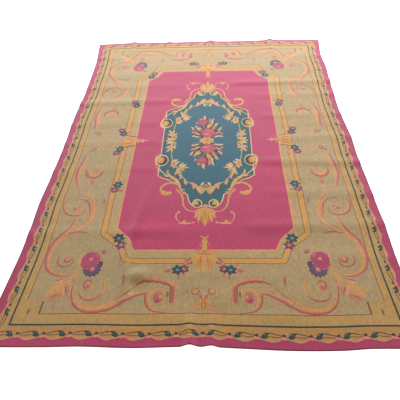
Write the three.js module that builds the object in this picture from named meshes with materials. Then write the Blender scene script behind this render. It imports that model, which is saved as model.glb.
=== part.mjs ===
// A flat-woven rug lying on a floor: one cloth, a little drawn in at its waist, with the soft
// ridges that folded storage leaves across it, one long rumple, and lengthwise puckers at its ends.
// Millimetres, +Z up, +Y along the rug. The origin is on the floor under the rug's middle.
import * as THREE from "three";

// The cloth as it was woven, before it lay uneven
const clothWidth = 1970; // selvedge to selvedge
const clothLength = 3000; // end to end
const clothThickness = 3;

// The lattice that carries the cloth's surface
const rowStep = 58; // along the rug, away from the crests of the ridges
const columnStep = 110; // across the rug, away from the lengthwise puckers
const columnsBesidePucker = [-48, -22, 0, 22, 48]; // across a lengthwise pucker, from its crest
const columnsBesideRumple = [-80, -40, 0, 40, 80]; // wider apart, because the rumple slants
const lowestWithColumns = 8; // a lower pucker makes do with the even lines
const narrowestGap = 16; // between two lines of the lattice

// How a ridge is shaped
const crestRounding = 0.16; // of the ridge's half width
const crossRidgeFade = 150; // the length over which a cross ridge sinks to nothing at an inner end
const sidesReach = 990; // a cross ridge whose end lies further out than this runs over the side
const beyondEnd = 90; // a pucker starts this far outside the rug
const noFade = 1e-3; // a ridge that runs over an edge keeps its full height there
const endUnevennessPower = 6; // the uneven ends straighten this fast towards the rug's middle

// Where the two long edges lie: left and right of the middle, going from the near end to the far end
const longEdges = [
  { along: -1500, left: -998, right: 998 },
  { along: -1200, left: -981, right: 979 },
  { along: -1000, left: -970, right: 971 },
  { along: -800, left: -968, right: 974 },
  { along: -600, left: -975, right: 970 },
  { along: -400, left: -968, right: 967 },
  { along: -200, left: -963, right: 961 },
  { along: 0, left: -961, right: 966 },
  { along: 200, left: -966, right: 957 },
  { along: 350, left: -966, right: 949 },
  { along: 600, left: -956, right: 954 },
  { along: 800, left: -958, right: 960 },
  { along: 1000, left: -961, right: 968 },
  { along: 1200, left: -968, right: 960 },
  { along: 1300, left: -979, right: 969 },
  { along: 1500, left: -998, right: 990 },
];

// Where the two ends lie, going from the left edge to the right edge
const shortEnds = [
  { across: -985, near: -1499, far: 1474 },
  { across: -700, near: -1497, far: 1495 },
  { across: -550, near: -1493, far: 1492 },
  { across: -300, near: -1498, far: 1494 },
  { across: -120, near: -1492, far: 1497 },
  { across: 20, near: -1490, far: 1501 },
  { across: 150, near: -1497, far: 1495 },
  { across: 400, near: -1507, far: 1499 },
  { across: 600, near: -1504, far: 1507 },
  { across: 720, near: -1495, far: 1498 },
  { across: 985, near: -1493, far: 1489 },
];

// Ridges across the rug, each from its left end to its right end. Its crest stands height over the
// floor side of the cloth, and its feet are so far from the crest on the near and the far side.
const crossRidges = [
  { fromX: -1000, fromY: 1196, toX: -690, toY: 1180, height: 8, nearFoot: 45, farFoot: 60 },
  { fromX: -430, fromY: 906, toX: -90, toY: 915, height: 7, nearFoot: 50, farFoot: 70 },
  { fromX: -1000, fromY: 705, toX: -160, toY: 712, height: 5, nearFoot: 60, farFoot: 90 },
  { fromX: -1000, fromY: 470, toX: -190, toY: 492, height: 11, nearFoot: 48, farFoot: 80 },
  { fromX: -1000, fromY: 196, toX: -260, toY: 212, height: 5, nearFoot: 55, farFoot: 80 },
  { fromX: -1000, fromY: -32, toX: -230, toY: -10, height: 6, nearFoot: 55, farFoot: 70 },
  { fromX: -1000, fromY: -310, toX: -280, toY: -288, height: 5, nearFoot: 55, farFoot: 70 },
  { fromX: -1000, fromY: -835, toX: -90, toY: -808, height: 8, nearFoot: 60, farFoot: 75 },
  { fromX: 640, fromY: 1180, toX: 1000, toY: 1176, height: 7, nearFoot: 50, farFoot: 60 },
  { fromX: 120, fromY: 734, toX: 1000, toY: 752, height: 13, nearFoot: 45, farFoot: 85 },
  { fromX: 260, fromY: 548, toX: 1000, toY: 566, height: 7, nearFoot: 55, farFoot: 80 },
  { fromX: 320, fromY: 272, toX: 1000, toY: 292, height: 8, nearFoot: 50, farFoot: 80 },
  { fromX: 300, fromY: 6, toX: 1000, toY: 26, height: 6, nearFoot: 55, farFoot: 75 },
  { fromX: 250, fromY: -226, toX: 1000, toY: -246, height: 11, nearFoot: 48, farFoot: 75 },
  { fromX: 300, fromY: -516, toX: 1000, toY: -534, height: 6, nearFoot: 55, farFoot: 80 },
  { fromX: 150, fromY: -788, toX: 1000, toY: -770, height: 9, nearFoot: 55, farFoot: 70 },
];

// Lengthwise puckers that start at an end of the rug and sink towards its middle
const endPuckers = [
  { x: -52, y: -1500, innerX: -72, innerY: -1225, height: 22, foot: 46 },
  { x: 34, y: -1500, innerX: 46, innerY: -1290, height: 11, foot: 40 },
  { x: -680, y: 1500, innerX: -668, innerY: 1250, height: 9, foot: 48 },
  { x: -360, y: 1500, innerX: -356, innerY: 1300, height: 5, foot: 46 },
  { x: 20, y: 1500, innerX: 16, innerY: 1240, height: 11, foot: 48 },
  { x: 552, y: 1500, innerX: 546, innerY: 1250, height: 13, foot: 46 },
];

// The long slanting rumple on the left of the near half
const rumple = { fromX: -404, fromY: -1190, toX: -338, toY: -690, height: 9, foot: 52, fade: 170 };

const cloth = new THREE.MeshStandardMaterial({ color: 0xc35a7c, roughness: 0.95, metalness: 0 });

// A smooth curve through one column of a table, by cubic pieces that share their slopes
function smoothColumn(table, place, column, at) {
  const last = table.length - 1;
  let row = 0;
  while (row < last - 1 && table[row + 1][place] <= at) row += 1;
  const slopeAt = (k) => {
    const before = table[Math.max(k - 1, 0)];
    const after = table[Math.min(k + 1, last)];
    return (after[column] - before[column]) / (after[place] - before[place]);
  };
  const span = table[row + 1][place] - table[row][place];
  const t = THREE.MathUtils.clamp((at - table[row][place]) / span, 0, 1);
  const startWeight = (1 + 2 * t) * (1 - t) ** 2;
  const endWeight = t * t * (3 - 2 * t);
  return (
    startWeight * table[row][column] +
    endWeight * table[row + 1][column] +
    span * t * (1 - t) ** 2 * slopeAt(row) -
    span * t * t * (1 - t) * slopeAt(row + 1)
  );
}

// Where a point of the woven cloth lies on the floor: the width follows the long edges everywhere,
// and the ends' unevenness is felt near the ends alone
function placeOf(across, along) {
  const left = smoothColumn(longEdges, "along", "left", along);
  const right = smoothColumn(longEdges, "along", "right", along);
  const share = across / (clothWidth / 2);
  const x = ((right + left) / 2) * share ** 2 + ((right - left) / 2) * share;
  const near = smoothColumn(shortEnds, "across", "near", across) + clothLength / 2;
  const far = smoothColumn(shortEnds, "across", "far", across) - clothLength / 2;
  const reach = along / (clothLength / 2);
  const nearShare = Math.max(0, -reach) ** endUnevennessPower;
  const farShare = Math.max(0, reach) ** endUnevennessPower;
  return { x, y: along + near * nearShare + far * farShare };
}

// A ridge's section: 1 at the crest and 0 from its foot on, with a rounded crest and soft feet
function section(offset, foot) {
  const away = Math.hypot(Math.abs(offset) / foot, crestRounding) - crestRounding;
  const share = Math.min(away / (Math.hypot(1, crestRounding) - crestRounding), 1);
  return (1 - share) ** 2 * (1 + share);
}

// The height of a ridge that runs straight from one point to another, with its own feet and fades
function ridgeHeight(x, y, ridge) {
  const length = Math.hypot(ridge.toX - ridge.fromX, ridge.toY - ridge.fromY);
  const alongX = (ridge.toX - ridge.fromX) / length;
  const alongY = (ridge.toY - ridge.fromY) / length;
  const travelled = (x - ridge.fromX) * alongX + (y - ridge.fromY) * alongY;
  const offset = (y - ridge.fromY) * alongX - (x - ridge.fromX) * alongY;
  const started = THREE.MathUtils.smoothstep(travelled, 0, ridge.startFade);
  const ended = 1 - THREE.MathUtils.smoothstep(travelled, length - ridge.endFade, length);
  const foot = offset < 0 ? ridge.nearFoot : ridge.farFoot;
  return ridge.height * started * ended * section(offset, foot);
}

const ridges = [
  ...crossRidges.map((ridge) => ({
    ...ridge,
    startFade: ridge.fromX < -sidesReach ? noFade : crossRidgeFade,
    endFade: ridge.toX > sidesReach ? noFade : crossRidgeFade,
  })),
  ...endPuckers.map((pucker) => ({
    fromX: pucker.x,
    fromY: pucker.y + Math.sign(pucker.y) * beyondEnd,
    toX: pucker.innerX,
    toY: pucker.innerY,
    height: pucker.height,
    nearFoot: pucker.foot,
    farFoot: pucker.foot,
    startFade: noFade,
    endFade: Math.abs(pucker.y - pucker.innerY),
  })),
  { ...rumple, nearFoot: rumple.foot, farFoot: rumple.foot, startFade: rumple.fade, endFade: rumple.fade },
];

function liftAt(x, y) {
  return ridges.reduce((sum, ridge) => sum + ridgeHeight(x, y, ridge), 0);
}

// Evenly spaced lines from one side to the other, with extra ones where they are asked for
function latticeLines(half, step, extras) {
  const count = Math.ceil((2 * half) / step);
  const even = Array.from({ length: count + 1 }, (_, k) => -half + (2 * half * k) / count);
  const isInside = (line) => Math.abs(line) < half - narrowestGap;
  const kept = extras.filter(isInside).sort((a, b) => a - b);
  const apart = kept.filter((line, k) => k === 0 || line - kept[k - 1] >= narrowestGap);
  const isClear = (line) => apart.every((other) => Math.abs(other - line) >= narrowestGap * 2);
  const ends = [-half, half];
  return [...even.filter((line) => !ends.includes(line) && isClear(line)), ...apart, ...ends].sort(
    (a, b) => a - b,
  );
}

// The closed sheet: an upper and an under face on one lattice, joined all round by the edge
function sheetGeometry(columns, rows) {
  const wide = columns.length;
  const layer = wide * rows.length;
  const positions = new Float32Array(2 * layer * 3);
  rows.forEach((along, row) => {
    columns.forEach((across, column) => {
      const { x, y } = placeOf(across, along);
      const lift = liftAt(x, y);
      const under = row * wide + column;
      positions.set([x, y, lift], 3 * under);
      positions.set([x, y, lift + clothThickness], 3 * (layer + under));
    });
  });
  const triangles = [];
  const quad = (a, b, c, d) => triangles.push(a, b, c, a, c, d);
  for (let row = 0; row + 1 < rows.length; row += 1) {
    for (let column = 0; column + 1 < wide; column += 1) {
      const a = row * wide + column;
      const b = a + 1;
      const c = b + wide;
      const d = a + wide;
      quad(layer + a, layer + b, layer + c, layer + d);
      quad(a, d, c, b);
    }
  }
  const wall = (a, b) => quad(a, b, layer + b, layer + a);
  for (let column = 0; column + 1 < wide; column += 1) {
    wall(column, column + 1);
    wall(layer - 1 - column, layer - 2 - column);
  }
  for (let row = 0; row + 1 < rows.length; row += 1) {
    const rightEdge = row * wide + wide - 1;
    wall(rightEdge, rightEdge + wide);
    wall((row + 1) * wide, row * wide);
  }
  const geometry = new THREE.BufferGeometry();
  geometry.setAttribute("position", new THREE.BufferAttribute(positions, 3));
  geometry.setIndex(triangles);
  geometry.computeVertexNormals();
  return geometry;
}

const puckerColumns = endPuckers
  .filter((pucker) => pucker.height > lowestWithColumns)
  .flatMap((pucker) =>
    columnsBesidePucker.map((beside) => (pucker.x + pucker.innerX) / 2 + beside),
  );
const rumpleColumns = columnsBesideRumple.map((beside) => (rumple.fromX + rumple.toX) / 2 + beside);
const crestRows = crossRidges.map((ridge) => (ridge.fromY + ridge.toY) / 2);
const columns = latticeLines(clothWidth / 2, columnStep, [...puckerColumns, ...rumpleColumns]);
const rows = latticeLines(clothLength / 2, rowStep, crestRows);

const rug = new THREE.Mesh(sheetGeometry(columns, rows), cloth);
rug.name = "rug";

const group = new THREE.Group();
group.add(rug);

export default group;
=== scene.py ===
import math

import bpy
import numpy as np
from mathutils import Matrix, Vector
from mathutils.geometry import delaunay_2d_cdt


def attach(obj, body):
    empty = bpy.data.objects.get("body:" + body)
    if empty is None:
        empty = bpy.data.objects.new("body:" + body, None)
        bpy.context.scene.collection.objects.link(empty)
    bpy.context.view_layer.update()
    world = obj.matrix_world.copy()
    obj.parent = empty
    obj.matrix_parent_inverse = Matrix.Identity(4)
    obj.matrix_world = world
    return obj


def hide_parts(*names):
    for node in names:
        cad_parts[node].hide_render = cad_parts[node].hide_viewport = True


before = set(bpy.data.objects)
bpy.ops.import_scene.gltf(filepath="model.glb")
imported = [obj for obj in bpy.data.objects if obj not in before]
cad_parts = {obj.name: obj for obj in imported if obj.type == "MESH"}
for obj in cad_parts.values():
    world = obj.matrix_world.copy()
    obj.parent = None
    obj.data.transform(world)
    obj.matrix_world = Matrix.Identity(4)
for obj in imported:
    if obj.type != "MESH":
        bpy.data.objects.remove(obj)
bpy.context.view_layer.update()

# The woven design. Sizes are in millimetres on the flat cloth, u across and v along, from its middle.
# The tables hold one quarter of the design, and the weave repeats it in the other three.
# Each yarn has its red, green and blue, and how many stray yarns are spun into it.
yarns = {
    # the darkest yarn, at the very edge, is partly a darker edge yarn and partly painted shade of the edge's side
    "rim": (0.735, 0.165, 0.38, 0.05), "selvedge": (0.549, 0.019, 0.202, 0.05),
    "field": (0.775, 0.14, 0.385, 0.04), "magenta": (0.765, 0.175, 0.385, 0.05), "wine": (0.42, 0.1, 0.25, 0.1),
    "mauve": (0.62, 0.29, 0.4, 0.1), "rose": (0.745, 0.375, 0.33, 0.2), "brick": (0.6, 0.27, 0.2, 0.25),
    "dusk": (0.73, 0.42, 0.42, 0.2), "coral": (0.845, 0.495, 0.35, 0.2), "peach": (0.89, 0.615, 0.405, 0.2),
    "buff": (0.87, 0.68, 0.44, 0.2), "blush": (0.904, 0.574, 0.488, 0.1), "cream": (0.914, 0.772, 0.552, 0.1),
    "gold": (0.86, 0.62, 0.265, 0.16), "amber": (0.765, 0.465, 0.1, 0.25), "brass": (0.79, 0.575, 0.285, 0.25),
    "honey": (0.785, 0.615, 0.335, 0.22), "straw": (0.803, 0.658, 0.354, 0.45), "sand": (0.74, 0.622, 0.422, 1),
    "sage": (0.765, 0.635, 0.41, 0.9), "moss": (0.487, 0.422, 0.155, 0.6), "bark": (0.49, 0.32, 0.12, 0.4),
    "umber": (0.3, 0.17, 0.09, 0.1), "reed": (0.62, 0.68, 0.52, 0.2), "leaf": (0.403, 0.422, 0.187, 0.3),
    "ink": (0.043, 0.098, 0.05, 0), "deepTeal": (0.019, 0.235, 0.257, 0), "teal": (0.04, 0.325, 0.39, 0),
    "lake": (0.03, 0.355, 0.445, 0), "sky": (0.55, 0.63, 0.62, 0.05), "navy": (0.38, 0.26, 0.385, 0.1),
}

design = {
    "halfWidth": 985,
    "halfLength": 1500,
    "curveStep": 9,
    "straightStep": 24,
    # the width of the darker band at the very edge, which is partly painted shade of the edge's side
    "selvedge": 6,
    "tealLine": (884, 1388),
    "tealLineWidth": 8.5,
    "goldBandInner": (845, 1331),
    "goldBandMargin": (12, 6),
    "fineLine": 4.5,
    "cornerBlock": (761, 1257),
    "scallopLine": (933, 1448),
    "scallopDepth": 13,
    "brassBandGap": 4,  # between the brass band and the scallops
    "guardPitchEnd": 118.5,
    "guardPitchSide": 128,
    "vineInset": (10, 12),  # from the scallop line, at the sides and at the ends
    "vineSideScale": 0.85,  # the vine is narrower along the sides
    "frameBand": 30,
    "frameRim": 4,
    "fieldRims": {"honey": 16, "peach": 10, "field": 0},
    "creamLine": 6.8,
}


def smoothAlong(knots, values, at):
    # cubic pieces between the knots; the slope at a knot is that of the line between its neighbours
    knots, values, at = (np.asarray(x, float) for x in (knots, values, at))
    values = values.reshape(len(knots), -1)
    last = len(knots) - 1
    before = np.maximum(np.arange(last + 1) - 1, 0)
    after = np.minimum(np.arange(last + 1) + 1, last)
    slopes = (values[after] - values[before]) / (knots[after] - knots[before])[:, None]
    piece = np.clip(np.searchsorted(knots, at, "right") - 1, 0, last - 1)
    span = (knots[piece + 1] - knots[piece])[:, None]
    t = np.clip((at - knots[piece])[:, None] / span, 0, 1)
    return (
        (1 + 2 * t) * (1 - t) ** 2 * values[piece]
        + t * t * (3 - 2 * t) * values[piece + 1]
        + span * t * (1 - t) ** 2 * slopes[piece]
        - span * t * t * (1 - t) * slopes[piece + 1]
    )


def lengthsAlong(points):
    # the way travelled to each point
    return np.r_[0, np.cumsum(np.linalg.norm(np.diff(points, axis=0), axis=1))]


def through(points, step=design["curveStep"]):
    # a smooth curve through the points, cut into even steps
    points = np.asarray(points, float)
    fine = smoothAlong(lengthsAlong(points), points, np.linspace(0, lengthsAlong(points)[-1], 200))
    reach = lengthsAlong(fine)
    at = np.linspace(0, reach[-1], max(5, round(reach[-1] / step) + 1))
    return np.stack([np.interp(at, reach, fine[:, k]) for k in range(2)], axis=1)


def straight(points, closed=False):
    # straight stretches through the points, each cut into even steps; a closed line ends where it began
    points = np.asarray([*points, points[0]] if closed else points, float)
    parts = [points[:1]]
    for start, end in zip(points[:-1], points[1:]):
        count = max(1, math.ceil(np.linalg.norm(end - start) / design["straightStep"]))
        parts.append(start + (end - start) * np.linspace(0, 1, count + 1)[1:, None])
    return np.concatenate(parts)[: -1 if closed else None]


def sideways(line):
    # at each point, the unit vector to the left of the way along the line
    way = np.gradient(line, axis=0)
    way /= np.maximum(np.linalg.norm(way, axis=1), 1e-6)[:, None]
    return np.stack([-way[:, 1], way[:, 0]], axis=1)


def swell(count, head, tail, peak):
    # a share of the width along a stroke: head at its start, 1 at the peak, tail at its end
    t = np.linspace(0, 1, count)
    return np.where(
        t < peak,
        head + (1 - head) * np.sin(0.5 * np.pi * t / peak),
        tail + (1 - tail) * np.cos(0.5 * np.pi * (t - peak) / (1 - peak)),
    )


def strip(line, low, high):
    # the outline of the cloth between two offsets to the left of a line
    out = sideways(line)
    low, high = (np.broadcast_to(offset, len(line))[:, None] for offset in (low, high))
    return np.concatenate([line + out * high, (line + out * low)[::-1]])


def stroke(points, width, yarn, head=0.5, tail=0.12, peak=0.35):
    line = through(points)
    wide = 0.5 * width * swell(len(line), head, tail, peak)
    return [(strip(line, -wide, wide), yarn)]


# The plies of a scroll: each reaches from this share of the half width, -1 on the shaded side, to
# the lit side, over the plies before it
plies = {
    "flame": [(-1, "brick"), (-0.45, "rose"), (0.10, "coral"), (0.50, "gold")],
    "bowl": [(-1, "brick"), (-0.70, "rose"), (-0.05, "coral"), (0.38, "peach"), (0.70, "gold")],
    "wave": [(-1, "dusk"), (-0.68, "rose"), (-0.25, "coral"), (0.10, "peach"), (0.38, "gold")],
    "plume": [(-1, "brick"), (-0.70, "rose"), (-0.05, "coral"), (0.50, "peach")],
    "bar": [(-1, "brick"), (-0.60, "rose"), (-0.12, "brick"), (0.14, "rose"), (0.60, "coral")],
    "gilt": [(-1, "coral"), (-0.50, "gold"), (0.45, "peach")],
    "amber": [(-1, "umber"), (-0.60, "amber"), (0.10, "gold")],
    "thin": [(-1, "brick"), (-0.45, "rose"), (0.15, "coral")],
    "shell": [(-1, "coral"), (-0.45, "gold"), (0.45, "peach")],
}


def scroll(path, width, kind, head, tail, peak, lit, teeth=0, depth=0.35):
    # a leafy stroke of several yarns, lit on its left at 1 and on its right at -1; teeth bite into
    # its shaded rim: 1 - depth (1 - |sin|)
    line = through(path)
    wide = 0.5 * width * swell(len(line), head, tail, peak)
    wave = np.abs(np.sin(np.pi * np.linspace(0, teeth, len(line)))) if teeth else 1.0
    shapes = []
    for low, yarn in plies[kind]:
        shaded = low * wide * (1 - depth * (1 - wave) if low < 0 else 1)
        shapes.append((strip(line, *((shaded, wide) if lit > 0 else (-wide, -shaded))), yarn))
    return shapes


def leaf(u, v, tipU, tipV, width, yarn, bend=0.0, steps=8):
    # a pointed leaf or petal, whose midrib bends sideways by a share of its length
    base, way = np.array([u, v], float), np.array([tipU - u, tipV - v], float)
    t = np.linspace(0, 1, steps)
    rib = base + way * t[:, None] + np.array([-way[1], way[0]]) * (bend * np.sin(np.pi * t))[:, None]
    wide = 0.5 * width * np.sin(np.pi * t**0.75) ** 0.8
    return [(strip(rib, -wide, wide), yarn)]


def rimmedLeaf(u, v, tipU, tipV, width, yarn, bend, rim, vein=None):
    # a leaf with a darker rim on one side, a vein, or both
    place = (u, v, tipU, tipV)
    shapes = leaf(*place, width, rim, bend) if rim else []
    shapes += leaf(*place, width * (0.78 if rim else 1.0), yarn, bend + (0.03 if rim else 0.0))
    return shapes + (leaf(*place, 0.28 * width, vein, bend) if vein else [])


def bloom(u, v, radius, petals, yarn, depth=0.28, turn=0.0, steps=6, squash=1.0):
    # a flower seen from above: its rim swings in and out once for each petal
    angle = np.linspace(0, 2 * np.pi, petals * steps, endpoint=False)
    rim = radius * (1 - depth * (0.5 - 0.5 * np.cos(petals * (angle - turn))))
    return [(np.array([u, v]) + rim[:, None] * np.stack([np.cos(angle), squash * np.sin(angle)], 1), yarn)]


def dot(u, v, radius, yarn, steps=8, squash=1.0):
    return bloom(u, v, radius, 1, yarn, 0.0, 0.0, steps, squash)


def rosette(u, v, radius, yarn, turn):
    # a small flower of five petals with a light eye
    rim, heart, eye = {"deepTeal": ("ink", "teal", "sky"), "wine": ("wine", "mauve", "blush")}[yarn]
    return (
        bloom(u, v, radius, 6, rim, 0.34, turn)
        + bloom(u, v, 0.78 * radius, 6, yarn, 0.36, turn)
        + bloom(u, v, 0.60 * radius, 5, heart, 0.36, turn + 0.6, 5)
        + dot(u, v, 0.20 * radius, eye, 7)
    )


def patch(points, yarn):
    return [(np.array(points, float), yarn)]


shapeKinds = {"scroll": scroll, "stroke": stroke, "leaf": leaf, "rimmedLeaf": rimmedLeaf, "bloom": bloom,
              "dot": dot, "rosette": rosette, "patch": patch}


def drawn(rows):
    # the shapes of a table: each row names its kind, and then what the function of that kind takes
    return [shape for kind, *row in rows for shape in shapeKinds[kind](*row)]


def rectangle(halfU, halfV, yarn):
    corners = [(-halfU, -halfV), (halfU, -halfV), (halfU, halfV), (-halfU, halfV)]
    return [(straight(corners, closed=True), yarn)]


def fourWays(shapes):
    # the quarter's shapes and their mirror images in both middle lines
    return [(outline * (u, v), yarn) for outline, yarn in shapes for u in (1, -1) for v in (1, -1)]


def frameShape(quarter, yarn, by=0.0):
    # a closed outline round the whole cloth from the quarter's points, which go from the middle of
    # a side to the middle of an end; it may be moved outward by the same amount all along
    q = np.asarray(quarter, float)
    full = np.concatenate([q[1:2] * (1, -1), q, q[-2:-1] * (-1, 1)])
    way = np.diff(full, axis=0)
    way /= np.maximum(np.linalg.norm(way, axis=1), 1e-6)[:, None]
    normal = np.stack([way[:, 1], -way[:, 0]], 1)
    both = normal[:-1] + normal[1:]
    q = straight(q + by * both / (1 + (normal[:-1] * normal[1:]).sum(1))[:, None])
    return [(np.concatenate([q, q[-2::-1] * (-1, 1), q[1:] * (-1, -1), q[-2:0:-1] * (1, -1)]), yarn)]


def guardLine():
    # the scalloped rim of the guard's ground: |sin| outside a straight line
    u0, v0 = design["scallopLine"]
    pitchEnd, pitchSide, depth = design["guardPitchEnd"], design["guardPitchSide"], design["scallopDepth"]
    side = np.arange(0, v0 - 10, pitchSide / 8)
    end = np.arange(0, u0 - 10, pitchEnd / 8)
    outU = u0 + depth * np.abs(np.sin(np.pi * side / pitchSide))
    outV = v0 + depth * np.abs(np.sin(np.pi * end / pitchEnd))
    return np.concatenate([np.stack([outU, side], 1), np.stack([end, outV], 1)[::-1]])


# One repeat of the guard's vine, along and outward from the cusp: the thin stem that arches on to the
# next bud with the gilt lobe under it, a forked dark leaf, and a bud with blush petals
vine = [
    ("stroke", [(50, 6), (74, 10), (104, 8)], 7.5, "coral"),
    ("stroke", [(48, -1), (72, 4), (106, 4)], 3.5, "umber"),
    ("stroke", [(44, 22), (70, 27), (100, 18)], 4.5, "peach"),
    ("stroke", [(12, 12), (28, 17), (46, 20)], 4, "coral"),
    ("stroke", [(-4, 0), (12, 3), (26, 5)], 4.2, "umber"),
    ("stroke", [(40, -16), (66, -14), (92, -7), (118, 0)], 5, "umber"), ("leaf", 16, 5, 52, 3, 14, "ink", 0.04),
    ("leaf", 22, 6, 56, -14, 17, "ink", -0.05), ("leaf", 24, 3, 36, -19, 13, "ink", 0.1),
    ("leaf", 24, 4, 44, 2, 6, "teal", 0.05), ("leaf", 30, 0, 50, -11, 7, "teal", -0.06),
    ("dot", 34, -9, 3, "sky", 6), ("leaf", 8, -4, -10, -4, 16, "ink", 0), ("dot", 1, -3, 5, "wine", 6),
    ("leaf", -2, 6, -16, 13, 11, "blush", 0), ("leaf", 2, 6, 18, 14, 12, "coral", 0),
    ("dot", 3, 10, 8, "blush"),
]


def vineRepeat(place, way, out, pitch, scale):
    # the repeat laid along the edge, its stems and leaves slimmer where it is narrower
    place, way, out = (np.asarray(x, float) for x in (place, way, out))
    slim = 0.45 + 0.55 * scale

    def at(along, outward):
        return place + way * along * pitch / design["guardPitchEnd"] + out * outward * scale

    shapes = []
    for kind, *row in vine:
        if kind == "stroke":
            shapes += stroke([at(*point) for point in row[0]], row[1] * slim, row[2], 0.7, 0.7)
        elif kind == "leaf":
            shapes += leaf(*at(*row[:2]), *at(*row[2:4]), row[4] * slim, *row[5:], 7)
        else:
            shapes += dot(*at(*row[:2]), *row[2:])
    return shapes


def guardBand():
    u0, v0 = design["scallopLine"]
    insetSide, insetEnd = design["vineInset"]
    pitchEnd, pitchSide = design["guardPitchEnd"], design["guardPitchSide"]
    shapes = []
    for k in range(8):
        shapes += vineRepeat((k * pitchEnd, v0 - insetEnd), (1, 0), (0, 1), pitchEnd, 1.0)
    for k in range(11):
        place = (u0 - insetSide, (k + 0.02) * pitchSide)
        shapes += vineRepeat(place, (0, 1), (1, 0), pitchSide, design["vineSideScale"])
    return shapes


# The field and the frame round it, from the middle of the side to the middle of the end
fieldEdge = [(485, 0), (485, 795), (408, 872), (394, 905), (376, 945), (0, 945)]
frameLine = [(560, 0), (560, 826), (554, 840), (508, 876), (466, 908), (440, 948), (416, 1012), (408, 1020),
             (0, 1020)]

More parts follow.
